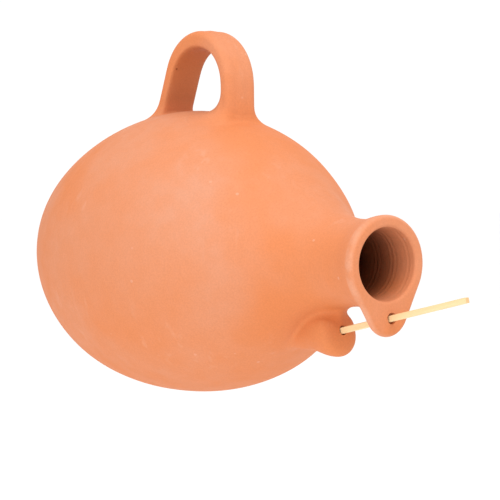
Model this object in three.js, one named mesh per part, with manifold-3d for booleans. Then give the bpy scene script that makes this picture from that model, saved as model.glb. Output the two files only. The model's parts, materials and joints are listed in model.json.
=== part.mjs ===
// Hanging terracotta nest pot for garden birds: a thrown egg-shaped belly lying on its side, a necked
// mouth with a pulled lip, a strap handle to hang it by, and a wooden perch held by a socket and the lip.
//
// Units are millimetres and +Z is up. The pot is laid out around the centre of its belly, with its axis
// along Y and its mouth facing -Y. A station is a distance from that centre towards the mouth, so
// station = -y. The finished group is then moved so that its origin is the hanging point, the middle of
// the underside of the handle's arch.

import * as THREE from "three";
import { mergeVertices } from "three/addons/utils/BufferGeometryUtils.js";
import Module from "manifold-3d";

const wasm = await Module();
wasm.setup();

// Clearance between fired pieces that touch.
const seamGap = 0.3;

// Belly: half an ellipsoid behind the centre and a fuller superellipse in front of it, which runs out
// along its tangent into a straight cone towards the neck.
const bellyRadius = 90.6;
const bellyRearLength = 127.4;
const bellyFrontLength = 129.2;
const bellyFrontPower = 2.22;
const coneStation = 97;
const bellyWall = 7;
const baseStation = -120;
const bellySegments = 48;
const bellyRearSteps = 10;
const bellyFrontSteps = 14;

// Neck and mouth.
const neckRadius = 26.2;
const neckBlend = 22;
const seamStation = 150;
const mouthStation = 193.3;
const throatRadius = 21;
const mouthRounding = 2.2;
const neckSegments = 48;
const neckSteps = 4;
const roundingSteps = 3;

// Lip: the rim is drawn down into a teardrop tongue that carries the perch.
const rimRadius = 29.1;
const rimThickness = 5.8;
const rimBevel = 1.6;
const tipRadius = 15.3;
const tipDrop = 27.8;
const lipTwist = THREE.MathUtils.degToRad(3);
const lipHoleRadius = 3.6;

// The neck's outside flares out to meet the back of the rim.
const flareLength = 15;
const flareSteps = 5;
const flareStart = mouthStation - rimThickness - flareLength;

// Strap handle: its middle line in the plane x = 0, as [y, height]. Each foot is buried in the belly. The
// legs run straight up from the feet, and two quarter arcs that meet at the top join them.
const strapRearFoot = [26.5, 78];
const strapFrontFoot = [-49.6, 77];
const strapTop = [-18, 140];
const strapRearBend = 29.6;
const strapFrontBend = 31;
const strapRearLean = THREE.MathUtils.degToRad(22);
const strapTopHalfThickness = 6.1;
const strapTopShare = 0.3;
const strapHalfWidth = 11.8;
const strapHalfThickness = 5.2;
const strapRootFlare = 1.25;
const strapFlareShare = 0.16;
const strapSectionPower = 4;
const strapSides = 20;
const strapSteps = 36;

// Perch lug: a domed stub under the neck, with its axis along Y.
const lugRadius = 13.6;
const lugRootRadius = 11.2;
const lugHeight = -44.2;
const lugShoulderStation = 144.3;
const lugDomeLength = 10.4;
const lugDomePower = 2.8;
const lugRootStation = 96;
const lugWaistStation = 126;
const lugSegments = 32;
const lugSteps = 8;
const socketRadius = 3.1;
const socketDepth = 11;
const boreSegments = 24;

// Perch: a square stick that slopes up and outwards from the socket.
const perchFoot = new THREE.Vector3(0, -153.7, -41.3);
const perchDirection = new THREE.Vector3(0.075, -0.971, 0.228).normalize();
const perchOutsideLength = 101;
const perchInnerSide = 3.9;
const perchOuterSide = 3.4;

// ---- small tools ---------------------------------------------------------------------------------

// The larger of two values, with the corner between them rounded over a band of the given width.
function smoothMax(a, b, band) {
  const overlap = Math.max(band - Math.abs(a - b), 0);
  return Math.max(a, b) + (overlap * overlap) / (4 * band);
}

function smoothStep(x) {
  const t = THREE.MathUtils.clamp(x, 0, 1);
  return t * t * (3 - 2 * t);
}

// Evenly spaced values from the first to the last, both included.
function spaced(first, last, steps) {
  return Array.from({ length: steps + 1 }, (_, i) => first + ((last - first) * i) / steps);
}

function toSolid(geometry) {
  const bare = geometry.clone();
  bare.deleteAttribute("normal");
  bare.deleteAttribute("uv");
  const merged = mergeVertices(bare, 1e-4);
  const mesh = new wasm.Mesh({
    numProp: 3,
    vertProperties: new Float32Array(merged.attributes.position.array),
    triVerts: new Uint32Array(merged.index.array),
  });
  return new wasm.Manifold(mesh);
}

function toGeometry(solid) {
  const mesh = solid.getMesh();
  const geometry = new THREE.BufferGeometry();
  geometry.setAttribute("position", new THREE.BufferAttribute(mesh.vertProperties, 3));
  geometry.setIndex(new THREE.BufferAttribute(mesh.triVerts, 1));
  geometry.computeVertexNormals();
  return geometry;
}

// A round solid about the Y axis, from [radius, station] pairs that run round its section.
function turned(profile, segments) {
  const points = profile.map(([radius, station]) => new THREE.Vector2(radius, -station));
  return toSolid(new THREE.LatheGeometry(points, segments));
}

function namedMesh(name, solid, material) {
  const mesh = new THREE.Mesh(toGeometry(solid), material);
  mesh.name = name;
  return mesh;
}

// A round rod that starts at a point and runs along a direction.
function rod(start, direction, radius, length, segments) {
  const geometry = new THREE.CylinderGeometry(radius, radius, length, segments);
  geometry.translate(0, length / 2, 0);
  const turn = new THREE.Quaternion().setFromUnitVectors(new THREE.Vector3(0, 1, 0), direction);
  geometry.applyQuaternion(turn);
  geometry.translate(start.x, start.y, start.z);
  return toSolid(geometry);
}

// ---- the pot's outline ---------------------------------------------------------------------------

// Radius of the bare egg at a station, shrunk by an inset all round, or 0 past its end.
function eggRadius(station, inset) {
  const behind = station < 0;
  const length = (behind ? bellyRearLength : bellyFrontLength) - inset;
  const power = behind ? 2 : bellyFrontPower;
  const share = Math.min(Math.abs(station) / length, 1);
  return (bellyRadius - inset) * Math.sqrt(1 - share ** power);
}

// Radius of the bare belly: the egg, and then the cone that leaves it along its tangent.
function bodyRadius(station, inset) {
  if (station < coneStation) {
    return eggRadius(station, inset);
  }
  const step = 0.01;
  const radius = eggRadius(coneStation, inset);
  const slope = (eggRadius(coneStation + step, inset) - radius) / step;
  return radius + slope * (station - coneStation);
}

// Outer radius of belly and neck together.
function outerRadius(station) {
  if (station < 0) {
    return eggRadius(station, 0);
  }
  const flare = (rimRadius - rimBevel - neckRadius) * smoothStep((station - flareStart) / flareLength);
  return smoothMax(bodyRadius(station, 0), neckRadius, neckBlend) + flare;
}

function innerRadius(station) {
  if (station < 0) {
    return eggRadius(station, bellyWall);
  }
  return smoothMax(bodyRadius(station, bellyWall), throatRadius, neckBlend);
}

// Stations along the belly up to the seam, closer together towards the rear, where the outline turns most.
function bellyStations(rear) {
  const turnRear = Math.asin(rear / bellyRearLength);
  const behind = spaced(turnRear, 0, bellyRearSteps).map((turn) => bellyRearLength * Math.sin(turn));
  return [...behind, ...spaced(0, seamStation, bellyFrontSteps).slice(1)];
}

// Stations along the neck's outside, closer together where it flares into the rim.
function neckStations(rear) {
  const shank = spaced(rear, flareStart, neckSteps);
  const flare = spaced(flareStart, mouthStation - rimBevel, flareSteps).slice(1);
  return [...shank, ...flare];
}

// The mouth's inner edge, rounded over from the throat to the front face.
function mouthEdge() {
  return spaced(0, Math.PI / 2, roundingSteps).map((angle) => [
    throatRadius + mouthRounding * (1 - Math.cos(angle)),
    mouthStation - mouthRounding * (1 - Math.sin(angle)),
  ]);
}

// ---- belly ---------------------------------------------------------------------------------------

function bellySolid() {
  const inside = bellyStations(baseStation + bellyWall).map((s) => [innerRadius(s), s]);
  const outside = bellyStations(baseStation).map((s) => [outerRadius(s), s]);
  const profile = [[0, baseStation + bellyWall], ...inside, ...outside.reverse(), [0, baseStation]];
  return turned(profile, bellySegments);
}

// Belly and neck as one full solid, grown by the seam gap, to trim what is luted on to them.
function seatingForm() {
  const stations = [...bellyStations(baseStation), ...neckStations(seamStation).slice(1)];
  const outside = stations.map((s) => [outerRadius(s) + seamGap, s]);
  const rear = [0, baseStation];
  const front = [0, mouthStation];
  return turned([front, ...outside.reverse(), rear], bellySegments);
}

// ---- neck, mouth and lip -------------------------------------------------------------------------

// Throat and neck wall in one round section.
function neckSolid() {
  const rear = seamStation + seamGap;
  const outside = neckStations(rear).map((s) => [outerRadius(s), s]);
  const face = [rimRadius - 2 * rimBevel, mouthStation];
  const inside = spaced(rear, mouthStation - flareLength, neckSteps).map((s) => [innerRadius(s), s]);
  const profile = [...inside, ...mouthEdge(), face, ...outside.reverse()];
  return turned([...profile, profile[0]], neckSegments);
}

// The rim drawn down into a tongue: a rim circle and a tip circle with their two shared tangents.
function lipSolid() {
  const slope = Math.asin((rimRadius - tipRadius) / tipDrop);
  const outline = new THREE.Shape();
  outline.absarc(0, 0, rimRadius, -slope, Math.PI + slope, false);
  outline.absarc(0, -tipDrop, tipRadius, Math.PI + slope, 2 * Math.PI - slope, false);
  const geometry = new THREE.ExtrudeGeometry(outline, {
    depth: rimThickness - 2 * rimBevel,
    bevelThickness: rimBevel,
    bevelSize: rimBevel,
    bevelOffset: -rimBevel,
    bevelSegments: 3,
    curveSegments: 24,
  });
  geometry.rotateZ(lipTwist);
  geometry.translate(0, 0, mouthStation - rimThickness + rimBevel);
  geometry.rotateX(Math.PI / 2);
  return toSolid(geometry);
}

// The space inside the throat and mouth, as a solid that opens the tongue's flat outline.
function throatCutter() {
  const rear = mouthStation - rimThickness - mouthRounding;
  const front = mouthStation + 1;
  const mouthRadius = throatRadius + mouthRounding;
  const wall = [[throatRadius, rear], ...mouthEdge(), [mouthRadius, front]];
  return turned([[0, front], ...wall.reverse(), [0, rear]], neckSegments);
}

function neckCollar() {
  const reachPastLip = 60;
  const hole = rod(perchFoot, perchDirection, lipHoleRadius, reachPastLip, boreSegments);
  return neckSolid().add(lipSolid().subtract(throatCutter())).subtract(hole);
}

// ---- strap handle --------------------------------------------------------------------------------

function strapMiddleLine() {
  const [middle, top] = strapTop;
  const bendStart = new THREE.Vector2(strapRearBend, 0).rotateAround(new THREE.Vector2(), strapRearLean);
  const line = new THREE.Path();
  line.moveTo(...strapRearFoot);
  line.lineTo(middle + bendStart.x, top - strapRearBend + bendStart.y);
  line.absarc(middle, top - strapRearBend, strapRearBend, strapRearLean, Math.PI / 2, false);
  line.absarc(middle, top - strapFrontBend, strapFrontBend, Math.PI / 2, Math.PI, false);
  line.lineTo(...strapFrontFoot);
  return line;
}

// A closed unit cylinder bent along the handle's line, with a rounded-oblong section that
// widens where the strap is pressed on to the belly, and is thickest at the top.
function strapHandle() {
  const line = strapMiddleLine();
  const geometry = new THREE.CylinderGeometry(1, 1, 1, strapSides, strapSteps);
  const place = geometry.attributes.position;
  const side = new THREE.Vector3(1, 0, 0);
  for (let i = 0; i < place.count; i += 1) {
    const along = place.getY(i) + 0.5;
    const angle = Math.atan2(place.getZ(i), place.getX(i));
    const reach = Math.hypot(place.getX(i), place.getZ(i));
    const fromRoot = Math.min(along, 1 - along) / strapFlareShare;
    const flare = strapRootFlare + (1 - strapRootFlare) * smoothStep(fromRoot);
    const fromTop = Math.abs(along - 0.5) / strapTopShare;
    const swell = (strapTopHalfThickness - strapHalfThickness) * smoothStep(1 - fromTop);
    const share = 2 / strapSectionPower;
    const across = Math.sign(Math.cos(angle)) * Math.abs(Math.cos(angle)) ** share;
    const through = Math.sign(Math.sin(angle)) * Math.abs(Math.sin(angle)) ** share;
    const [tangentY, tangentZ] = line.getTangentAt(along).toArray();
    const normal = new THREE.Vector3(0, -tangentZ, tangentY);
    const [y, z] = line.getPointAt(along).toArray();
    const point = new THREE.Vector3(0, y, z);
    point.addScaledVector(side, reach * across * strapHalfWidth * flare);
    point.addScaledVector(normal, reach * through * (strapHalfThickness * flare + swell));
    place.setXYZ(i, point.x, point.y, point.z);
  }
  return toSolid(geometry).subtract(seatingForm());
}

// ---- perch lug and perch -------------------------------------------------------------------------

// The stub's section from its buried root, past its waist, to the top of its dome.
function lugOutline() {
  const root = spaced(lugRootStation, lugShoulderStation, lugSteps).map((station) => {
    const share = smoothStep((station - lugWaistStation) / (lugShoulderStation - lugWaistStation));
    return [lugRootRadius + (lugRadius - lugRootRadius) * share, station];
  });
  const dome = spaced(0, Math.PI / 2, lugSteps)
    .slice(1)
    .map((angle) => [
      lugRadius * Math.cos(angle) ** (2 / lugDomePower),
      lugShoulderStation + lugDomeLength * Math.sin(angle) ** (2 / lugDomePower),
    ]);
  dome[dome.length - 1][0] = 0;
  return [[0, lugRootStation], ...root, ...dome];
}

function perchLug() {
  const stub = turned(lugOutline().reverse(), lugSegments).translate([0, 0, lugHeight]);
  const cutStart = 5;
  const mouth = perchFoot.clone().addScaledVector(perchDirection, cutStart);
  const inwards = perchDirection.clone().negate();
  const socket = rod(mouth, inwards, socketRadius, cutStart + socketDepth, boreSegments);
  return stub.subtract(seatingForm()).subtract(socket);
}

// A four-sided tapered bar, which stands just clear of the bottom of its socket.
function perch() {
  const length = perchOutsideLength + socketDepth - seamGap;
  const outer = perchOuterSide * Math.SQRT1_2;
  const inner = perchInnerSide * Math.SQRT1_2;
  const geometry = new THREE.CylinderGeometry(outer, inner, length, 4, 1, false, Math.PI / 4);
  geometry.translate(0, length / 2 - socketDepth + seamGap, 0);
  const across = new THREE.Vector3().crossVectors(perchDirection, new THREE.Vector3(0, 0, 1)).normalize();
  const down = new THREE.Vector3().crossVectors(across, perchDirection);
  geometry.applyMatrix4(new THREE.Matrix4().makeBasis(across, perchDirection, down));
  geometry.translate(perchFoot.x, perchFoot.y, perchFoot.z);
  return toSolid(geometry);
}

// ---- assembly ------------------------------------------------------------------------------------

const fired = { roughness: 0.9, metalness: 0 };
const bellyClay = new THREE.MeshStandardMaterial({ color: 0xf0996f, ...fired });
const collarClay = new THREE.MeshStandardMaterial({ color: 0xee946a, ...fired });
const strapClay = new THREE.MeshStandardMaterial({ color: 0xec9066, ...fired });
const lugClay = new THREE.MeshStandardMaterial({ color: 0xe98d62, ...fired });
const paleWood = new THREE.MeshStandardMaterial({ color: 0xfbdcac, roughness: 0.7, metalness: 0 });

const pot = new THREE.Group();
pot.add(
  namedMesh("belly", bellySolid(), bellyClay),
  namedMesh("neck_collar", neckCollar(), collarClay),
  namedMesh("strap_handle", strapHandle(), strapClay),
  namedMesh("perch_lug", perchLug(), lugClay),
  namedMesh("perch", perch(), paleWood),
);

// The cord bears on the underside of the arch's top.
const [topY, topZ] = strapTop;
const hangPoint = new THREE.Vector3(0, topY, topZ - strapTopHalfThickness);
pot.position.copy(hangPoint).negate();

const nestPot = new THREE.Group();
nestPot.add(pot);

export default nestPot;
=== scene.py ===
"""Looks of the hanging terracotta nest pot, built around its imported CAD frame. Blender 4.5, metres, +Z up.

The clay is laid out like the CAD: around the centre of the belly, with the pot's axis along Y and its
mouth facing -Y. A station is a distance from that centre towards the mouth, and an angle turns round the
pot's axis from +X over the top. The handle and the lug run out into the pot's skin in soft fillets.
"""

import json
import math

import bpy
import numpy as np
from mathutils import Matrix, Vector


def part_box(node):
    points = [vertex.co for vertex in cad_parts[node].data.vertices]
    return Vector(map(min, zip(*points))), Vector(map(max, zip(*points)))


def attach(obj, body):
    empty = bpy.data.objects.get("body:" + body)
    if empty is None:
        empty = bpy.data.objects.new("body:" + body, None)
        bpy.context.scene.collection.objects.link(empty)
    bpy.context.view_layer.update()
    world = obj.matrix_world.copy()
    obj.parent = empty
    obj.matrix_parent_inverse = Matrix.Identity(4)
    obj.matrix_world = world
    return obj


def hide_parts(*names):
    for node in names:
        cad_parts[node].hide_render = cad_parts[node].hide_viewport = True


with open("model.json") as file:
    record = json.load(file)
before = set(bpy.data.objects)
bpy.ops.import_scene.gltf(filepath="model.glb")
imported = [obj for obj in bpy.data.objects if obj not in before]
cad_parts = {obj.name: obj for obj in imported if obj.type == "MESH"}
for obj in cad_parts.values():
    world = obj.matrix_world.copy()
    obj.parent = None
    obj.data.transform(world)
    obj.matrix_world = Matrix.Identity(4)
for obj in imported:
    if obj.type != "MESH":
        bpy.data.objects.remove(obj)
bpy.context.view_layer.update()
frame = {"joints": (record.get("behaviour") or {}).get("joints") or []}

MM = 0.001

# ---- sizes that the CAD's boxes don't give ---------------------------------------------------------

BASE_BEHIND_CENTRE = 120 * MM
BASE_EDGE_ROUND = 2.4 * MM
BASE_HOLLOW = 0.7 * MM
REAR_LENGTH = 127.4 * MM
FRONT_LENGTH = 129.2 * MM
FRONT_POWER = 2.22
CONE_START = 97 * MM
WALL = 7 * MM
NECK_RADIUS = 26.2 * MM
NECK_BLEND = 22 * MM
THROAT_RADIUS = 21 * MM
THROAT_FLARE = 0.9 * MM
THROAT_EDGE_ROUND = 2 * MM
RIM_RADIUS = 29.1 * MM
RIM_THICKNESS = 5.8 * MM
TIP_RADIUS = 15.3 * MM
TIP_DROP = 27.8 * MM
LIP_TWIST = math.radians(3)
LIP_HOLE_RADIUS = 3.3 * MM
SCUFF_PLACE = (-4.5 * MM, -37 * MM)

# The strap's places are Y and Z from the belly's centre. Its inner powers are those of the rear and the
# front leg, and a fillet's two bands are those on the leg's inner and outer face.
STRAP_REAR_FOOT = (26.5 * MM, 78 * MM)
STRAP_FRONT_FOOT = (-49.6 * MM, 77 * MM)
STRAP_TOP = (-18 * MM, 140 * MM)
STRAP_REAR_BEND = 29.6 * MM
STRAP_FRONT_BEND = 31 * MM
STRAP_REAR_LEAN = math.radians(22)
STRAP_HALF_WIDTH = 12 * MM
STRAP_HALF_THICKNESS = 5.2 * MM
STRAP_TOP_SWELL = 0.8 * MM
STRAP_OUTER_POWER = 3.3
STRAP_INNER_POWERS = (7, 3)
REAR_FILLETS = (3 * MM, 12 * MM)
FRONT_FILLETS = (27 * MM, 3.5 * MM)
PIT_PLACE = (-9.6 * MM, 3.9 * MM, 121.6 * MM)
PIT_RADIUS = 0.75 * MM

# The lug's fillet bands are those below and above it, and its side shares those at root and head.
LUG_RADIUS = 13.6 * MM
LUG_ROOT_RADIUS = 11.2 * MM
LUG_HEIGHT = -44.2 * MM
LUG_SHOULDER = 144.3 * MM
LUG_WAIST = 126 * MM
LUG_DOME = 9.4 * MM
LUG_POWER = 3
LUG_TOP_POWER = 2.8
LUG_FILLETS = (3 * MM, 12 * MM)
LUG_SIDE_SHARES = (0.75, 1)
LUG_SIDE_STATIONS = (112 * MM, 134 * MM)
LUG_ROOT_MIDDLE = (0, -122 * MM, -38 * MM)
LUG_LEAN = 0.18

PERCH_FOOT = Vector((0, -153.7 * MM, -41.3 * MM))
PERCH_INSIDE = 10.7 * MM
PERCH_OUTSIDE = 100.85 * MM
PERCH_INNER_SIDE = 3.9 * MM
PERCH_OUTER_SIDE = 3.4 * MM
PERCH_BEVEL = 0.25 * MM
PERCH_CORNER_POWER = 9
SOCKET_RADIUS = 2.85 * MM
SOCKET_MOUTHS = (-5 * MM, 0)
BORE_FLARE = 0.5 * MM

# ---- places read from the frame --------------------------------------------------------------------

belly_low, belly_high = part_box("belly")
collar_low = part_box("neck_collar")[0]

BELLY_RADIUS = (belly_high.x - belly_low.x) / 2
CENTRE = Vector((0, belly_high.y - BASE_BEHIND_CENTRE, (belly_low.z + belly_high.z) / 2))
SEAM = CENTRE.y - belly_low.y
MOUTH = CENTRE.y - collar_low.y
PERCH_DIRECTION = Vector(frame["joints"][0]["axis"]).normalized()

AROUND = 192
FULL_TURN = 2 * math.pi


# ---- camera ----------------------------------------------------------------------------------------

def add_camera():
    """The main view: a long lens, about level with the mouth and well round to the pot's left."""
    turn, tilt, distance = math.radians(-38.2), math.radians(2.35), 1.3248
    aim_right, aim_up = 0.0384, 0.0022
    back = Vector((math.sin(turn) * math.cos(tilt), -math.cos(turn) * math.cos(tilt), math.sin(tilt)))
    right = Vector((0, 0, 1)).cross(back).normalized()
    up = back.cross(right)
    camera = bpy.data.objects.new("camera", bpy.data.cameras.new("camera"))
    camera.data.sensor_width = 36
    camera.data.lens = 144
    camera.data.clip_end = 50
    axes = Matrix((right, up, back)).transposed().to_4x4()
    place = CENTRE + right * aim_right + up * aim_up + back * distance
    camera.matrix_world = Matrix.Translation(place) @ axes
    bpy.context.scene.collection.objects.link(camera)
    bpy.context.scene.camera = camera


# ---- the pot's skin --------------------------------------------------------------------------------

# Places where the hand left the belly a little full or a little flat:
# station, angle in degrees, reach and height, in millimetres.
HAND_MARKS = [
    (97, 25, 26, 0.7),
    (12, 87, 54, 3.6),
    (60, 58, 26, 0.6),
    (-73, 125, 34, -0.55),
    (-56, 240, 30, 0.45),
    (69, 300, 22, 0.4),
    (124, 62, 15, 0.8),
]


def smooth_max(a, b, band):
    overlap = np.maximum(band - np.abs(a - b), 0)
    return np.maximum(a, b) + overlap**2 / (4 * band)


def smooth_min(a, b, band):
    return -smooth_max(-a, -b, band)


def smooth_step(x):
    t = np.clip(x, 0, 1)
    return t * t * (3 - 2 * t)


def squared_circle(turn, power):
    """Points of a unit circle, pressed towards a square as the power rises above 2."""
    across = np.sign(np.cos(turn)) * np.abs(np.cos(turn)) ** (2 / power)
    through = np.sign(np.sin(turn)) * np.abs(np.sin(turn)) ** (2 / power)
    return across, through


def egg_radius(station, inset):
    """The egg's radius at a station, with its whole outline moved in by the inset."""
    length = np.where(station < 0, REAR_LENGTH, FRONT_LENGTH) - inset
    power = np.where(station < 0, 2, FRONT_POWER)
    share = np.minimum(np.abs(station) / length, 1)
    return (BELLY_RADIUS - inset) * np.sqrt(1 - share**power)


def body_radius(station, inset):
    """The egg, which eases into a cone along the slope that it has reached at the cone's start."""
    length, radius = FRONT_LENGTH - inset, BELLY_RADIUS - inset
    run = np.linspace(0, 200 * MM, 801)
    share = np.minimum(run / length, 0.999)
    slope = FRONT_POWER / 2 * radius / length * share ** (FRONT_POWER - 1) / np.sqrt(1 - share**FRONT_POWER)
    slope = smooth_min(slope, np.interp(CONE_START, run, slope), 0.3)
    fall = np.append(0, np.cumsum((slope[:-1] + slope[1:]) / 2 * np.diff(run)))
    return np.where(station < 0, egg_radius(station, inset), np.interp(station, run, radius - fall))


def hand_marks(station, angle):
    """How far the skin stands out from the turned form."""
    total = np.zeros(np.broadcast(station, angle).shape)
    for mark_station, mark_degrees, reach, height in HAND_MARKS:
        turn = np.mod(angle - math.radians(mark_degrees) + math.pi, FULL_TURN) - math.pi
        away = np.hypot(station - mark_station * MM, turn * BELLY_RADIUS) / (reach * MM)
        total = total + height * MM * np.exp(-away**2)
    return total


def outer_radius(station, angle):
    body = body_radius(station, 0)
    neck = smooth_max(body, NECK_RADIUS, NECK_BLEND)
    return np.where(station < 0, body, neck) + hand_marks(station, angle)


def inner_radius(station):
    body = body_radius(station, WALL)
    throat = smooth_max(body, THROAT_RADIUS, NECK_BLEND)
    widening = THROAT_FLARE * smooth_step(1 - (MOUTH - station) / (22 * MM))
    return np.where(station < 0, body, throat + widening)


def polar(radius, station, angle):
    """Points in the belly's own frame."""
    radius, station, angle = np.broadcast_arrays(radius, station, angle)
    return np.stack([radius * np.cos(angle), -station, radius * np.sin(angle)], axis=-1)


def skin_distance(points):
    """How far points stand off the outside of belly and neck."""
    station = -points[..., 1]
    angle = np.arctan2(points[..., 2], points[..., 0])
    step = 0.2 * MM
    radius = outer_radius(station, angle)
    slope = (outer_radius(station + step, angle) - radius) / step
    return (np.hypot(points[..., 0], points[..., 2]) - radius) / np.sqrt(1 + slope**2)


def onto_skin(points, sink=0):
    """The same stations and angles, on the pot's skin or some way under it."""
    angle = np.arctan2(points[..., 2], points[..., 0])
    station = -points[..., 1]
    return polar(outer_radius(station, angle) - sink, station, angle)


def gradient(field, points):
    step = 0.05 * MM
    parts = []
    for axis in np.eye(3) * step:
        parts.append((field(points + axis) - field(points - axis)) / (2 * step))
    return np.stack(parts, axis=-1)


def unit(vectors):
    return vectors / np.linalg.norm(vectors, axis=-1, keepdims=True)


# ---- mesh tools ------------------------------------------------------------------------------------

def ring_faces(rings, around, looped):
    """Quads between neighbouring rings, and from the last ring back to the first one if looped."""
    faces = []
    for i in range(rings if looped else rings - 1):
        here, there = i * around, (i + 1) % rings * around
        for j in range(around):
            k = (j + 1) % around
            faces.append((here + j, here + k, there + k, there + j))
    return faces


def ring_mesh(name, rings, looped=False):
    """A closed mesh of stacked rings, with its two ends capped at their middles unless it loops."""
    count, around = rings.shape[:2]
    points = rings.reshape(-1, 3)
    faces = ring_faces(count, around, looped)
    if not looped:
        first, last = len(points), len(points) + 1
        points = np.vstack([points, rings[0].mean(axis=0), rings[-1].mean(axis=0)])
        start = (count - 1) * around
        for j in range(around):
            k = (j + 1) % around
            faces.append((first, k, j))
            faces.append((last, start + j, start + k))
    mesh = bpy.data.meshes.new(name)
    mesh.from_pydata([tuple(p) for p in points], [], faces)
    mesh.validate()
    piece = bpy.data.objects.new(name, mesh)
    bpy.context.scene.collection.objects.link(piece)
    return piece


def face_outwards(piece):
    """Turns the faces round where the mesh encloses a negative volume."""
    mesh = piece.data
    mesh.calc_loop_triangles()
    corners = np.array([[mesh.vertices[v].co for v in t.vertices] for t in mesh.loop_triangles])
    volume = np.einsum("ij,ij->i", corners[:, 0], np.cross(corners[:, 1], corners[:, 2])).sum()
    if volume < 0:
        mesh.flip_normals()


def smooth(piece, crease_degrees=42):
    piece.data.shade_smooth()
    piece.data.set_sharp_from_angle(angle=math.radians(crease_degrees))


def in_place(points):
    return points + np.array(CENTRE)


def carve(piece, cutter):
    """Cuts the cutter out of a piece, for good, and removes the cutter."""
    modifier = piece.modifiers.new("carve", "BOOLEAN")
    modifier.operation = "DIFFERENCE"
    modifier.solver = "EXACT"
    modifier.object = cutter
    bpy.context.view_layer.update()
    graph = bpy.context.evaluated_depsgraph_get()
    carved = bpy.data.meshes.new_from_object(piece.evaluated_get(graph))
    piece.modifiers.clear()
    piece.data = carved
    bpy.data.objects.remove(cutter)


def paint(piece, name, weight):
    """Stores a share from 0 to 1 at each point, for the clay's material to read."""
    layer = piece.data.attributes.new(name, "FLOAT", "POINT")
    points = np.array([v.co for v in piece.data.vertices]) - np.array(CENTRE)
    layer.data.foreach_set("value", weight(points).astype(np.float32))


def inside_shade_share(points):
    """How deep points lie in the pot's inside, as the share of painted shade there, where little light gets
    in.
    """
    first, full = 5 * MM, 37 * MM
    station = -points[:, 1]
    lining = np.hypot(points[:, 0], points[:, 2]) < inner_radius(station) + WALL / 3
    ahead_of_base = station > WALL / 2 - BASE_BEHIND_CENTRE
    return lining * ahead_of_base * smooth_step((MOUTH - first - station) / (full - first))


# ---- belly -----------------------------------------------------------------------------------------

def belly_stations(rear, count):
    """Stations up to the seam, closer together at the rear, where the outline turns fastest."""
    behind = REAR_LENGTH * np.sin(np.linspace(math.asin(rear / REAR_LENGTH), 0, count // 2))
    ahead = np.linspace(0, SEAM, count)[1:]
    return np.concatenate([behind, ahead])


def build_belly():
    """Rings from the base's middle over the outside to the seam, and back along the inside."""
    angle = np.linspace(0, FULL_TURN, AROUND, endpoint=False)
    base = -BASE_BEHIND_CENTRE
    edge_round = BASE_EDGE_ROUND
    base_radius = float(egg_radius(np.array(base + edge_round), 0))
    rings = []
    for share in np.linspace(0.04, 1, 14):
        hollow = BASE_HOLLOW * (1 - smooth_step((share - 0.55) / 0.4))
        rings.append(polar((base_radius - edge_round) * share, base + hollow, angle))
    for turn in np.linspace(0, math.pi / 2, 6)[1:-1]:
        radius = base_radius - edge_round * (1 - math.sin(turn))
        rings.append(polar(radius, base + edge_round * (1 - math.cos(turn)), angle))
    for station in belly_stations(base + edge_round, 130):
        rings.append(polar(outer_radius(station, angle), station, angle))
    for station in belly_stations(base + WALL, 70)[::-1]:
        rings.append(polar(inner_radius(station), station, angle))
    piece = ring_mesh("belly_body", in_place(np.array(rings)))
    face_outwards(piece)
    smooth(piece)
    # painted shade on the belly's inner wall, darker the deeper it lies
    paint(piece, "inside", inside_shade_share)
    return piece


# ---- neck, mouth and lip ---------------------------------------------------------------------------

def tongue_reach(angle):
    """Distance from the mouth's axis to the lip's outline.

    The outline is the rim's circle and the tip's smaller circle below it, joined by their tangents.
    """
    slope = (RIM_RADIUS - TIP_RADIUS) / TIP_DROP
    level = math.sqrt(1 - slope**2)
    turned = angle - LIP_TWIST
    low, high = np.zeros_like(turned), np.full_like(turned, RIM_RADIUS + TIP_DROP)
    for _ in range(40):
        middle = (low + high) / 2
        across = np.abs(middle * np.cos(turned))
        down = -middle * np.sin(turned)
        along = across * -slope + down * level
        rim = np.hypot(across, down) - RIM_RADIUS
        tip = np.hypot(across, down - TIP_DROP) - TIP_RADIUS
        side = across * level + down * slope - RIM_RADIUS
        gap = np.where(along < 0, rim, np.where(along > level * TIP_DROP, tip, side))
        inside = gap < 0
        low = np.where(inside, middle, low)
        high = np.where(inside, high, middle)
    return low


def bezier(corners, count):
    """Points on a Bezier curve for each column, as rings."""
    t = np.linspace(0, 1, count)[:, None, None]
    corners = list(corners)
    while len(corners) > 1:
        corners = [(1 - t) * a + t * b for a, b in zip(corners, corners[1:])]
    return corners[0]


def throat_ridge(station):
    """Height of the fine ridges that fingers left in the throat, which fade towards its ends."""
    swing = 0.5 + 0.5 * math.sin(station / (2.3 * MM) + 1)
    near_mouth = smooth_step((MOUTH - THROAT_EDGE_ROUND - station) / (3 * MM))
    near_seam = smooth_step((station - SEAM) / (4 * MM))
    return 0.16 * MM * math.sin(station / (0.55 * MM)) * swing * (near_mouth * near_seam)


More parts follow.
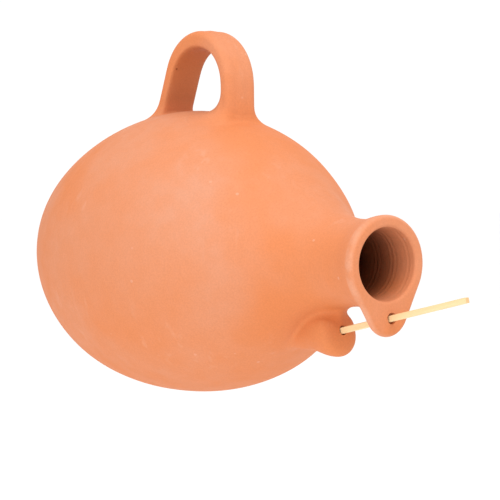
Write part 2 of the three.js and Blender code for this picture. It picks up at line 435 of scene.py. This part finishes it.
def collar_outline(angle):
    """The collar's section at each angle, as rings of radius and station, from the seam out and back in."""
    roll = RIM_THICKNESS / 2
    centre = np.stack([tongue_reach(angle) - roll, np.full_like(angle, MOUTH - roll)], axis=-1)
    drawn = smooth_step((centre[:, 0] + roll - NECK_RADIUS - 3 * MM) / (6 * MM))

    def ring(radius, station):
        return np.stack([radius + 0 * angle, station + 0 * angle], axis=-1)

    def rolled(turn):
        return centre + roll * np.stack([np.cos(turn), np.sin(turn)], axis=-1)

    bend_at_rim, bend_at_lip = 15 * MM, 10 * MM
    neck_end = MOUTH - RIM_THICKNESS - bend_at_rim + (bend_at_rim - bend_at_lip) * drawn
    start = np.stack([outer_radius(neck_end, angle), neck_end], axis=-1)
    rings = []
    for share in np.linspace(0, 1, 30)[:-1]:
        station = SEAM + (neck_end - SEAM) * share
        rings.append(np.stack([outer_radius(station, angle), station], axis=-1))
    first_turn = np.radians(-6 - 84 * drawn)  # the roll is met on its side, or from behind at the lip
    end = rolled(first_turn)
    along = np.stack([-np.sin(first_turn), np.cos(first_turn)], axis=-1)
    reach = 0.45 * np.linalg.norm(end - start, axis=-1, keepdims=True)
    rings += list(bezier([start, start + reach * np.array([0, 1]), end - reach * along, end], 26)[:-1])
    for share in np.linspace(0, 1, 14):
        rings.append(rolled(first_turn + (math.pi / 2 - first_turn) * share))
    inner_round = THROAT_EDGE_ROUND
    edge = float(inner_radius(np.array(MOUTH - inner_round)))
    for share in (0.25, 0.5, 0.75):
        rings.append(ring(centre[:, 0] * (1 - share) + (edge + inner_round) * share, MOUTH))
    for turn in np.linspace(0, math.pi / 2, 9):
        radius = edge + inner_round * (1 - math.sin(turn))
        rings.append(ring(radius, MOUTH - inner_round * (1 - math.cos(turn))))
    for station in np.linspace(MOUTH - inner_round, SEAM, 60)[1:]:
        rings.append(ring(inner_radius(np.array(station)) + throat_ridge(station), station))
    return np.array(rings)


def perch_bore(name, radius, mouths):
    """A round cutter along the perch's line, which widens softly at its mouths.

    The mouths are distances from the perch's foot, with the outermost one last.
    """
    behind, ahead = 14 * MM, 6 * MM
    side = PERCH_DIRECTION.orthogonal().normalized()
    up = PERCH_DIRECTION.cross(side)
    turn = np.linspace(0, FULL_TURN, 40, endpoint=False)[:, None]
    spoke = np.cos(turn) * np.array(side) + np.sin(turn) * np.array(up)
    rings = []
    for along in np.linspace(mouths[0] - behind, mouths[-1] + ahead, 90):
        near = min(abs(along - mouth) for mouth in mouths)
        wide = radius + BORE_FLARE * max(0, 1 - near / (2.2 * BORE_FLARE)) ** 2
        rings.append(np.array(PERCH_FOOT + PERCH_DIRECTION * along) + spoke * wide)
    piece = ring_mesh(name, in_place(np.array(rings)))
    face_outwards(piece)
    return piece


def ball(name, centre, radius):
    """A small round cutter, nearly from pole to pole."""
    turn = np.linspace(0, FULL_TURN, 24, endpoint=False)
    rings = []
    for rise in np.linspace(-1.4, 1.4, 12):
        wide = math.cos(rise)
        level = np.full_like(turn, math.sin(rise))
        spoke = np.stack([np.cos(turn) * wide, level, np.sin(turn) * wide], axis=-1)
        rings.append(np.array(centre) + radius * spoke)
    piece = ring_mesh(name, in_place(np.array(rings)))
    face_outwards(piece)
    return piece


def collar_wear_and_highlight(points):
    """Worn along the outer edge of rim and lip, partly as a painted edge highlight there, and at a scuff
    near the lip's tip.
    """
    across, up = points[:, 0], points[:, 2]
    edge = tongue_reach(np.arctan2(up, across)) - np.hypot(across, up)
    near_rim = smooth_step((-points[:, 1] - (MOUTH - RIM_THICKNESS - 1 * MM)) / (2 * MM))
    scuff = np.hypot(across - SCUFF_PLACE[0], up - SCUFF_PLACE[1]) / (2 * MM)
    return near_rim * np.maximum(smooth_step(1 - edge / (2.6 * MM)), np.exp(-scuff**2))


def build_collar():
    angle = np.linspace(0, FULL_TURN, AROUND, endpoint=False)
    outline = collar_outline(angle)
    rings = polar(outline[..., 0], outline[..., 1], angle)
    piece = ring_mesh("neck_and_lip", in_place(rings), looped=True)
    face_outwards(piece)
    front_face = (-PERCH_FOOT.y - MOUTH) / PERCH_DIRECTION.y
    carve(piece, perch_bore("hole", LIP_HOLE_RADIUS, (front_face,)))
    smooth(piece)
    # worn rim edge, partly painted edge highlight, and the scuff near the lip's tip
    paint(piece, "wear_and_highlight", collar_wear_and_highlight)
    # painted shade in the throat, darker the deeper it lies
    paint(piece, "inside", inside_shade_share)
    return piece


# ---- fillets ---------------------------------------------------------------------------------------

def run_out(lead, corner, foot, own_distance, band, count):
    """Rings from a piece's own surface to the pot's skin, on the soft union of the two forms.

    The rings start as plain curves, and Newton steps then bring them on to the union.
    """
    def union(points):
        return smooth_min(own_distance(points), skin_distance(points), band)

    longest_step = 1 * MM
    rings = bezier([lead, corner, foot], count)
    inner = rings[1:-1]
    for _ in range(12):
        slope = gradient(union, inner)
        size = np.maximum((slope**2).sum(axis=-1, keepdims=True), 0.05)
        move = union(inner)[..., None] * slope / size
        inner = inner - np.clip(move, -longest_step, longest_step)
    rings[1:-1] = inner
    return rings


def walk_out(start, direction, own_distance, band):
    """Follows the skin outwards from a piece until the fillet's band is behind."""
    place = onto_skin(start)
    stride, farthest = 0.25 * MM, 60 * MM
    for _ in range(round(farthest / stride)):
        normal = unit(gradient(skin_distance, place))
        along = direction - (direction * normal).sum(axis=-1, keepdims=True) * normal
        short = (own_distance(place) < band)[:, None]
        place = np.where(short, onto_skin(place + unit(along) * stride), place)
    return place


def first_below(values, level):
    """For each column, the fractional row at which values first fall to a level."""
    rows, columns = values.shape
    below = values <= level
    row = np.where(below.any(axis=0), below.argmax(axis=0), rows - 1)
    before = np.maximum(row - 1, 0)
    column = np.arange(columns)
    high, low = values[before, column], values[row, column]
    share = np.where(high > low, (high - level) / np.where(high > low, high - low, 1), 0)
    return before + np.clip(share, 0, 1)


def at_row(rings, row):
    """The points at a fractional row of each column."""
    column = np.arange(rings.shape[1])
    low = np.clip(np.floor(row).astype(int), 0, len(rings) - 2)
    share = (row - low)[:, None]
    return rings[low, column] * (1 - share) + rings[low + 1, column] * share


def rooted_end(rings, own_distance, middle, band, contact, count=20):
    """Ends a piece on the pot. Its rings run towards the pot, and those under the skin are left out.

    Gives the row at which the fillet starts, and the fillet's own rings with a hidden root under them.
    """
    off_skin = skin_distance(rings)
    lead_row = first_below(off_skin, band)
    lead = at_row(rings, lead_row)
    corner = at_row(rings, first_below(off_skin, contact))
    outward = unit(corner - middle)
    foot = walk_out(corner, outward, own_distance, band)
    fillet = run_out(lead, corner, foot, own_distance, band, count)
    past_foot, edge_sink, root_sink = 0.3 * MM, 0.25 * MM, 3 * MM
    edge = onto_skin(foot + outward * past_foot, edge_sink)
    root = onto_skin(corner, root_sink)
    return lead_row, np.concatenate([fillet, edge[None], root[None]])


# ---- strap handle ----------------------------------------------------------------------------------

def strap_line(count):
    """The strap's middle line, evenly spaced: a straight leg, two bends that meet at the top, and a leg."""
    middle, top = STRAP_TOP

    def bend(radius, first, last):
        turn = np.linspace(first, last, 200)
        return np.column_stack([middle + radius * np.cos(turn), top - radius + radius * np.sin(turn)])

    rear = bend(STRAP_REAR_BEND, STRAP_REAR_LEAN, math.pi / 2)
    front = bend(STRAP_FRONT_BEND, math.pi / 2, math.pi)
    line = np.vstack([[STRAP_REAR_FOOT], rear, front[1:], [STRAP_FRONT_FOOT]])
    run = np.append(0, np.cumsum(np.linalg.norm(np.diff(line, axis=0), axis=1)))
    even = np.linspace(0, run[-1], count)
    line = np.column_stack([np.interp(even, run, line[:, i]) for i in range(2)])
    for _ in range(60):
        line[1:-1] = (line[:-2] + 2 * line[1:-1] + line[2:]) / 4
    return np.column_stack([np.zeros(count), line])


def strap_powers(through, share):
    """How square the section's corners are: crisp inside the rear leg, softer towards the front leg."""
    rear, front = STRAP_INNER_POWERS
    inner = rear + (front - rear) * smooth_step((share - 0.3) / 0.35)
    return np.where(through > 0, STRAP_OUTER_POWER, inner)


def strap_section(turn, share):
    """The section as shares of its half sizes at each share of the strap's length, with faint grooves."""
    across, through = squared_circle(turn, strap_powers(np.sin(turn), share[:, None]))
    groove = np.where(through > 0, 0.03 * np.cos(across * 9) - 0.03, 0)
    return across, through * (1 + groove)


def strap_distance(centre, side, normal, share):
    """Distance off a straight strap that runs through a point, near enough to shape a fillet."""
    def distance(points):
        local = points - centre
        across = local @ side
        through = local @ normal
        power = strap_powers(through, share)
        reach = np.abs(across / STRAP_HALF_WIDTH) ** power + np.abs(through / STRAP_HALF_THICKNESS) ** power
        reach = np.maximum(reach, 1e-9) ** (1 / power)
        return np.hypot(across, through) * (1 - 1 / reach)
    return distance


def strap_root(rings, line, fillets, turn, share):
    """One leg of the strap, from the arch's top down into the belly."""
    side = np.array([1.0, 0, 0])
    last = int((skin_distance(line) > 0).sum()) - 1
    along = unit(line[last] - line[last - 8])  # the leg's own direction just above the belly
    outward = np.cross(along, side)
    outward *= np.sign(outward @ (rings[last, len(turn) // 4] - line[last]))
    distance = strap_distance(line[last], side, outward, share)
    inner, outer = fillets
    band = inner + (outer - inner) * ((1 + np.sin(turn)) / 2) ** 0.8
    row, fillet = rooted_end(rings, distance, line[last], band, 0)
    shaft = [at_row(rings, row * part) for part in np.linspace(0, 1, 70)[:-1]]
    return np.concatenate([np.array(shaft), fillet])


def strap_underside_shade(points):
    """A light share of the inside's painted shade, on the strap's inner face under the arch and clear of the
    belly.
    """
    line = strap_line(121)
    normal = np.cross(unit(np.gradient(line, axis=0)), np.array([1.0, 0, 0]))
    nearest = ((points[:, None, 1:] - line[None, :, 1:]) ** 2).sum(axis=-1).argmin(axis=1)
    depth = -((points - line[nearest]) * normal[nearest]).sum(axis=-1)
    above_belly = smooth_step((skin_distance(points) - 2 * MM) / (9 * MM))
    return 0.3 * above_belly * smooth_step((depth - 2.5 * MM) / (2 * MM))


def build_handle():
    line = strap_line(361)
    share = np.linspace(0, 1, len(line))
    side = np.array([1.0, 0, 0])
    normal = np.cross(unit(np.gradient(line, axis=0)), side)
    turn = np.linspace(0, FULL_TURN, 96, endpoint=False)
    across, through = strap_section(turn, share)
    near_top = smooth_step(1 - np.abs(share - 0.5) / 0.3)
    thickness = STRAP_HALF_THICKNESS + STRAP_TOP_SWELL * near_top
    rings = (
        line[:, None]
        + across[..., None] * side * STRAP_HALF_WIDTH
        + (through * thickness[:, None])[..., None] * normal[:, None]
    )
    top = int(line[:, 2].argmax())
    rear = strap_root(rings[top::-1], line[top::-1], REAR_FILLETS, turn, 0)
    front = strap_root(rings[top:], line[top:], FRONT_FILLETS, turn, 1)
    piece = ring_mesh("strap", in_place(np.concatenate([rear[::-1], front[1:]])))
    face_outwards(piece)
    carve(piece, ball("pit", PIT_PLACE, PIT_RADIUS))
    smooth(piece, 60)
    # painted shade on the strap's inner face, where the arch keeps light out
    paint(piece, "inside", strap_underside_shade)
    return piece


# ---- perch lug -------------------------------------------------------------------------------------

def lug_side_radius(station):
    """The lug's half height behind its dome."""
    share = smooth_step((station - LUG_WAIST) / (LUG_SHOULDER - LUG_WAIST))
    return LUG_ROOT_RADIUS + (LUG_RADIUS - LUG_ROOT_RADIUS) * share


def lug_profile():
    """The lug's section from the middle of its dome back along its side: radius and station."""
    deep_in_pot = 80 * MM
    turn = np.linspace(math.pi / 2, 0, 60)[1:]
    across, ahead = squared_circle(turn, LUG_POWER)
    dome = np.column_stack([LUG_RADIUS * across, LUG_SHOULDER + LUG_DOME * ahead])
    station = np.linspace(LUG_SHOULDER, deep_in_pot, 120)[1:]
    side = np.column_stack([lug_side_radius(station), station])
    return np.vstack([dome, side])


def lug_side_share(station):
    """The lug's half width as a share of its half height: pinched at the root, broad at the head."""
    root, head = LUG_SIDE_SHARES
    first, last = LUG_SIDE_STATIONS
    return root + (head - root) * smooth_step((station - first) / (last - first))


def lug_section(across, up):
    """Distance from the lug's axis, measured so that its top is squarer than its underside."""
    power = np.where(up > 0, LUG_TOP_POWER, 2)
    return np.maximum(np.abs(across) ** power + np.abs(up) ** power, 1e-12) ** (1 / power)


def lug_distance(points):
    """Distance off the lug, near enough to shape its fillet."""
    up = points[..., 2] - LUG_HEIGHT
    station = LUG_LEAN * up - points[..., 1]
    off_axis = lug_section(points[..., 0] / lug_side_share(station), up)
    side = off_axis - lug_side_radius(station)
    past = np.maximum(station - LUG_SHOULDER, 0)
    reach = (off_axis / LUG_RADIUS) ** LUG_POWER + (past / LUG_DOME) ** LUG_POWER
    reach = np.maximum(reach, 1e-9) ** (1 / LUG_POWER)
    dome = np.hypot(off_axis, past) * (1 - 1 / reach)
    return np.where(past > 0, dome, side)


def build_lug():
    turn = np.linspace(0, FULL_TURN, 96, endpoint=False)
    profile = lug_profile()
    radius = profile[:, :1] / lug_section(np.cos(turn), np.sin(turn))
    rings = polar(radius, profile[:, 1:], turn[None])
    rings[..., 0] *= lug_side_share(profile[:, 1:])
    rings[..., 1] += LUG_LEAN * rings[..., 2]
    rings[..., 2] += LUG_HEIGHT
    below, above = LUG_FILLETS
    band = below + (above - below) * ((1 + np.sin(turn)) / 2) ** 8
    row, fillet = rooted_end(rings, lug_distance, np.array(LUG_ROOT_MIDDLE), band, band / 2, 26)
    shaft = [at_row(rings, row * share) for share in np.linspace(0, 1, 60)[:-1]]
    piece = ring_mesh("lug", in_place(np.concatenate([np.array(shaft), fillet])))
    face_outwards(piece)
    carve(piece, perch_bore("socket", SOCKET_RADIUS, SOCKET_MOUTHS))
    smooth(piece)
    return piece


# ---- perch -----------------------------------------------------------------------------------------

def build_perch():
    """A split and planed stick, built along its own X axis and then laid into its two holes."""
    start, end = -PERCH_INSIDE, PERCH_OUTSIDE
    turn = np.linspace(0, FULL_TURN, 48, endpoint=False)
    across, through = squared_circle(turn, PERCH_CORNER_POWER)
    bevel = PERCH_BEVEL
    fibre_depths = (0.035 * MM, 0.03 * MM)
    rings = []
    shaft = np.linspace(start + 2 * bevel, end - 2 * bevel, 60)
    for along in [start, start + bevel, *shaft, end - bevel, end]:
        share = (along - start) / (end - start)
        half = (PERCH_INNER_SIDE * (1 - share) + PERCH_OUTER_SIDE * share) / 2
        half -= bevel * (1 - smooth_step(min(along - start, end - along) / bevel)) * 0.6
        fibre = fibre_depths[0] * np.sin(turn * 7 + 2 * math.sin(along / (17 * MM)))
        fibre += fibre_depths[1] * np.sin(turn * 13 + 1.3 + math.sin(along / (9 * MM)))
        size = half - sum(fibre_depths) + fibre
        rings.append(np.stack([np.full_like(turn, along), across * size, through * size], axis=-1))
    piece = ring_mesh("perch_stick", np.array(rings))
    face_outwards(piece)
    smooth(piece, 30)
    side = PERCH_DIRECTION.cross(Vector((0, 0, 1))).normalized()
    up = side.cross(PERCH_DIRECTION)
    axes = Matrix((PERCH_DIRECTION, -side, up)).transposed().to_4x4()
    piece.matrix_world = Matrix.Translation(CENTRE + PERCH_FOOT) @ axes
    return piece


# ---- materials -------------------------------------------------------------------------------------

class Nodes:
    """A short way to write a node material."""

    def __init__(self, name):
        self.material = bpy.data.materials.new(name)
        self.material.use_nodes = True
        self.tree = self.material.node_tree
        self.shader = self.tree.nodes["Principled BSDF"]

    def add(self, kind, inputs=None, **settings):
        node = self.tree.nodes.new("ShaderNode" + kind)
        for key, value in settings.items():
            setattr(node, key, value)
        for key, value in (inputs or {}).items():
            self.set(node.inputs[key], value)
        return node

    def set(self, socket, value):
        if isinstance(value, bpy.types.NodeSocket):
            self.tree.links.new(value, socket)
        else:
            socket.default_value = value

    def noise(self, place, scale, detail=3, roughness=0.5):
        inputs = {"Vector": place, "Scale": scale, "Detail": detail, "Roughness": roughness}
        return self.add("TexNoise", inputs).outputs["Fac"]

    def span(self, value, low, high, to_low=0.0, to_high=1.0):
        inputs = {"Value": value, "From Min": low, "From Max": high, "To Min": to_low, "To Max": to_high}
        return self.add("MapRange", inputs, interpolation_type="SMOOTHSTEP").outputs["Result"]

    def math(self, operation, a, b=0.0):
        node = self.add("Math", operation=operation)
        self.set(node.inputs[0], a)
        self.set(node.inputs[1], b)
        return node.outputs[0]

    def mix(self, share, a, b):
        node = self.add("Mix", data_type="RGBA")
        self.set(node.inputs["Factor"], share)
        self.set(node.inputs["A"], a)
        self.set(node.inputs["B"], b)
        return node.outputs["Result"]

    def bump(self, height, distance, strength=1.0, normal=None):
        node = self.add("Bump", {"Height": height, "Distance": distance, "Strength": strength})
        if normal is not None:
            self.set(node.inputs["Normal"], normal)
        return node.outputs["Normal"]


CLAY = (0.585, 0.196, 0.076, 1)
# The deep and pale clay are the ends between which the painted highlight and the random mottling mix.
CLAY_DEEP = (0.6, 0.178, 0.052, 1)
CLAY_PALE = (0.565, 0.252, 0.152, 1)
CLAY_DUST = (0.66, 0.36, 0.25, 1)
# Painted shade: the near-black tone that darkens the pot's inside and, lightly, the strap's inner face.
CLAY_INSIDE_SHADE = (0.1, 0.026, 0.01, 1)
# A painted highlight: a pale patch on the belly's front-left side, full within the first reach and gone past
# the second, standing for a broad soft sheen.
SHEEN_PAINT_CENTRE = CENTRE + Vector((-65, -52, 18)) * MM
SHEEN_PAINT_REACH = (20 * MM, 95 * MM)


def clay_material():
    """Matt fired clay: a painted highlight as a pale patch on one side, soft mottling, scuffs, specks, worn
    edges with a painted edge highlight, painted shade inside and a sandy grain.
    """
    n = Nodes("fired_clay")
    place = n.add("TexCoord").outputs["Object"]
    cloud = n.span(n.noise(place, 13, 3), 0.35, 0.68)
    patch = n.span(n.noise(place, 85, 4, 0.6), 0.3, 0.7)
    grain = n.noise(place, 950, 3, 0.6)
    # The painted highlight's pale patch gives half of the mix from deep to pale clay, random mottling the
    # rest.
    away = n.add("VectorMath", {0: place}, operation="DISTANCE")
    away.inputs[1].default_value = SHEEN_PAINT_CENTRE
    painted_sheen_and_mottling = n.span(away.outputs["Value"], *SHEEN_PAINT_REACH, 1, 0)
    painted_sheen_and_mottling = n.math("ADD", n.math("MULTIPLY", painted_sheen_and_mottling, 0.5), n.math("MULTIPLY", cloud, 0.45))
    tone = n.mix(painted_sheen_and_mottling, CLAY_DEEP, CLAY_PALE)
    tone = n.mix(n.math("MULTIPLY", patch, 0.25), tone, CLAY)
    streaks = n.add("Mapping", {"Vector": place, "Scale": (150, 150, 26)}).outputs["Vector"]
    streak = n.span(n.noise(streaks, 1, 2), 0.56, 0.72)
    where = n.span(n.noise(place, 17, 2), 0.52, 0.66)
    tone = n.mix(n.math("MULTIPLY", n.math("MULTIPLY", streak, where), 0.16), tone, CLAY_DUST)
    specks = n.add("TexVoronoi", {"Vector": place, "Scale": 120, "Randomness": 1.0})
    rare = n.span(n.add("SeparateColor", {"Color": specks.outputs["Color"]}).outputs[0], 0.94, 0.97)
    speck = n.math("MULTIPLY", n.span(specks.outputs["Distance"], 0.09, 0.14, 1, 0), rare)
    tone = n.mix(n.math("MULTIPLY", speck, 0.4), tone, CLAY_DUST)
    # Worn edges and the scuff, with a painted edge highlight along the rim, mixed towards pale dust.
    wear_and_highlight = n.add("Attribute", attribute_name="wear_and_highlight").outputs["Fac"]
    tone = n.mix(n.math("MULTIPLY", wear_and_highlight, n.span(patch, 0, 1, 0.05, 0.4)), tone, CLAY_DUST)
    # Painted shade: the 'inside' share darkens the throat, the inner wall and the strap's inner face towards
    # a near-black tone.
    inside = n.add("Attribute", attribute_name="inside").outputs["Fac"]
    tone = n.mix(n.math("MULTIPLY", inside, 0.75), tone, CLAY_INSIDE_SHADE)
    fine = n.span(grain, 0.25, 0.75, -0.5, 0.5)
    shade = n.math("ADD", 1.0, n.math("MULTIPLY", fine, 0.1))
    tone = n.add("VectorMath", {0: tone}, operation="SCALE")
    n.set(tone.inputs["Scale"], shade)
    n.set(n.shader.inputs["Base Color"], tone.outputs["Vector"])
    n.set(n.shader.inputs["Roughness"], n.span(patch, 0, 1, 0.66, 0.78))
    n.shader.inputs["Specular IOR Level"].default_value = 0.35
    rough = n.bump(grain, 0.00008, 0.6)
    rough = n.bump(n.noise(place, 240, 4), 0.00022, 0.5, rough)
    rough = n.bump(speck, 0.00015, 0.6, rough)
    n.set(n.shader.inputs["Normal"], rough)
    return n.material


def wood_material():
    """Pale bare wood with a faint grain along the stick and darker end grain."""
    n = Nodes("pale_wood")
    place = n.add("TexCoord").outputs["Object"]
    stretched = n.add("Mapping", {"Vector": place, "Scale": (18, 900, 900)}).outputs["Vector"]
    grain = n.noise(stretched, 1, 4, 0.6)
    wide = n.noise(n.add("Mapping", {"Vector": place, "Scale": (9, 260, 260)}).outputs["Vector"], 1, 2)
    tone = n.mix(n.span(wide, 0.35, 0.65), (0.82, 0.60, 0.335, 1), (0.80, 0.555, 0.29, 1))
    tone = n.mix(n.math("MULTIPLY", n.span(grain, 0.52, 0.68), 0.35), tone, (0.66, 0.42, 0.19, 1))
    facing = n.add("SeparateXYZ", {"Vector": n.add("TexCoord").outputs["Normal"]}).outputs["X"]
    tone = n.mix(n.span(facing, 0.6, 0.8), tone, (0.66, 0.42, 0.2, 1))
    n.set(n.shader.inputs["Base Color"], tone)
    n.set(n.shader.inputs["Roughness"], n.span(grain, 0.3, 0.7, 0.5, 0.62))
    n.shader.inputs["Specular IOR Level"].default_value = 0.4
    n.set(n.shader.inputs["Normal"], n.bump(grain, 0.00006, 0.6))
    return n.material


def dress(piece, material, body, node):
    """Gives a piece its material and ties it to its CAD node."""
    piece.data.materials.clear()
    piece.data.materials.append(material)
    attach(piece, body)
    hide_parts(node)


# ---- studio ----------------------------------------------------------------------------------------

def add_floor():
    """A plain pale floor, well below the hanging pot."""
    drop_below_pot = 0.30
    size = 14
    height = belly_low.z - drop_below_pot
    mesh = bpy.data.meshes.new("floor")
    corners = [(-size, -size, height), (size, -size, height), (size, size, height), (-size, size, height)]
    mesh.from_pydata(corners, [], [(0, 1, 2, 3)])
    floor = bpy.data.objects.new("floor", mesh)
    bpy.context.scene.collection.objects.link(floor)
    n = Nodes("floor")
    n.shader.inputs["Base Color"].default_value = (0.93, 0.93, 0.93, 1)
    n.shader.inputs["Roughness"].default_value = 0.9
    n.shader.inputs["Emission Color"].default_value = (1, 1, 1, 1)
    n.shader.inputs["Emission Strength"].default_value = 0.05
    mesh.materials.append(n.material)


def add_area(name, turn_degrees, tilt_degrees, distance, size, power):
    """A round soft light that faces the pot's middle."""
    turn, tilt = math.radians(turn_degrees), math.radians(tilt_degrees)
    toward = Vector((math.sin(turn) * math.cos(tilt), -math.cos(turn) * math.cos(tilt), math.sin(tilt)))
    data = bpy.data.lights.new(name, "AREA")
    data.shape = "DISK"
    data.size = size
    data.energy = power
    light = bpy.data.objects.new(name, data)
    facing = toward.to_track_quat("Z", "Y").to_matrix().to_4x4()
    light.matrix_world = Matrix.Translation(CENTRE + toward * distance) @ facing
    bpy.context.scene.collection.objects.link(light)


def add_studio():
    world = bpy.data.worlds.new("studio")
    world.use_nodes = True
    sky = world.node_tree.nodes["Background"]
    sky.inputs["Color"].default_value = (1, 1, 1, 1)
    sky.inputs["Strength"].default_value = 1.04
    bpy.context.scene.world = world
    add_area("key", -5, 62, 1.9, 1.5, 20)
    add_area("fill", -66, 6, 1.9, 1.2, 9)
    bpy.context.scene.view_settings.view_transform = "Standard"
    add_floor()


# ---- everything together ---------------------------------------------------------------------------

add_camera()
clay = clay_material()
dress(build_belly(), clay, "pot", "belly")
dress(build_collar(), clay, "pot", "neck_collar")
dress(build_handle(), clay, "pot", "strap_handle")
dress(build_lug(), clay, "pot", "perch_lug")
dress(build_perch(), wood_material(), "perch", "perch")
add_studio()

bpy.context.view_layer.update()
